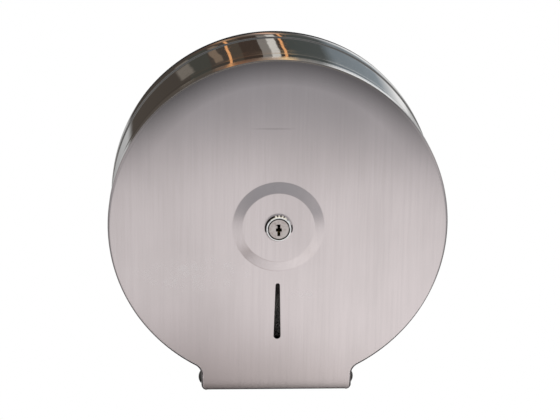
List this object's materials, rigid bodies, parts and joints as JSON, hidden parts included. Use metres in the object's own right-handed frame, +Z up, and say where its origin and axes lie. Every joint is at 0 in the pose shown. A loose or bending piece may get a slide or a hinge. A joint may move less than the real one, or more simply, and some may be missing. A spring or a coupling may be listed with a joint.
{
  "type": "jumbo toilet roll dispenser",
  "caption": "Round wall-mounted stainless steel jumbo toilet roll dispenser with a drop-down locking front, level slot, spindle with turning core sleeve and serrated paper outlet.",
  "frame": {"origin": "on the drum's axis, in the wall plane at the back of the pan, at the centre of the four wall screw holes", "axes": "+X to the right seen from the front, +Y back into the wall along the drum's axis, +Z up"},
  "size_m": [0.273, 0.1249, 0.2768],
  "materials": {
    "door_steel": "satin stainless, vertical brush grain",
    "band_steel": "mirror-bright stainless",
    "pan_steel": "mirror-bright stainless",
    "blade_steel": "satin stainless",
    "rivet_steel": "dull steel",
    "spindle_steel": "drawn steel tube",
    "zinc_plate": "bright zinc plate",
    "spring_steel": "blued spring steel",
    "sleeve_plastic": "moulded dark grey plastic",
    "nylon": "natural nylon",
    "lock_chrome": "polished chrome",
    "plug_nickel": "satin nickel",
    "wafer_brass": "stamped brass"
  },
  "bodies": {
    "case": {"back_pan": "pan_steel", "drum_band": "band_steel", "tear_blade_right": "blade_steel", "tear_blade_left": "blade_steel", "blade_rivets": "rivet_steel", "spindle_tube": "spindle_steel", "spindle_base": "spindle_steel", "spindle_rivets": "rivet_steel", "strike_cap": "zinc_plate", "retaining_ring": "spring_steel", "hinge_rivet_right": "rivet_steel", "hinge_rivet_left": "rivet_steel", "hinge_washer_right": "nylon", "hinge_washer_left": "nylon"},
    "sleeve": {"core_sleeve": "sleeve_plastic"},
    "door": {"door_panel": "door_steel", "lock_housing": "lock_chrome", "lock_washer": "spring_steel", "lock_nut": "zinc_plate"},
    "lock": {"lock_plug": "plug_nickel", "tumbler_wafers": "wafer_brass", "lock_cam": "zinc_plate", "cam_washer": "zinc_plate", "cam_screw": "zinc_plate"}
  },
  "joints": [
    {"name": "door_hinge", "type": "hinge", "parent": "case", "child": "door", "pos_m": [0, -0.1084, -0.13251], "axis": [1, 0, 0], "range_deg": [0, 105]},
    {"name": "lock_turn", "type": "hinge", "parent": "door", "child": "lock", "pos_m": [0, -0.1184, 0], "axis": [0, 1, 0], "range_deg": [0, 90]},
    {"name": "sleeve_spin", "type": "hinge", "parent": "case", "child": "sleeve", "pos_m": [0, -0.05, 0], "axis": [0, 1, 0], "continuous": true}
  ]
}
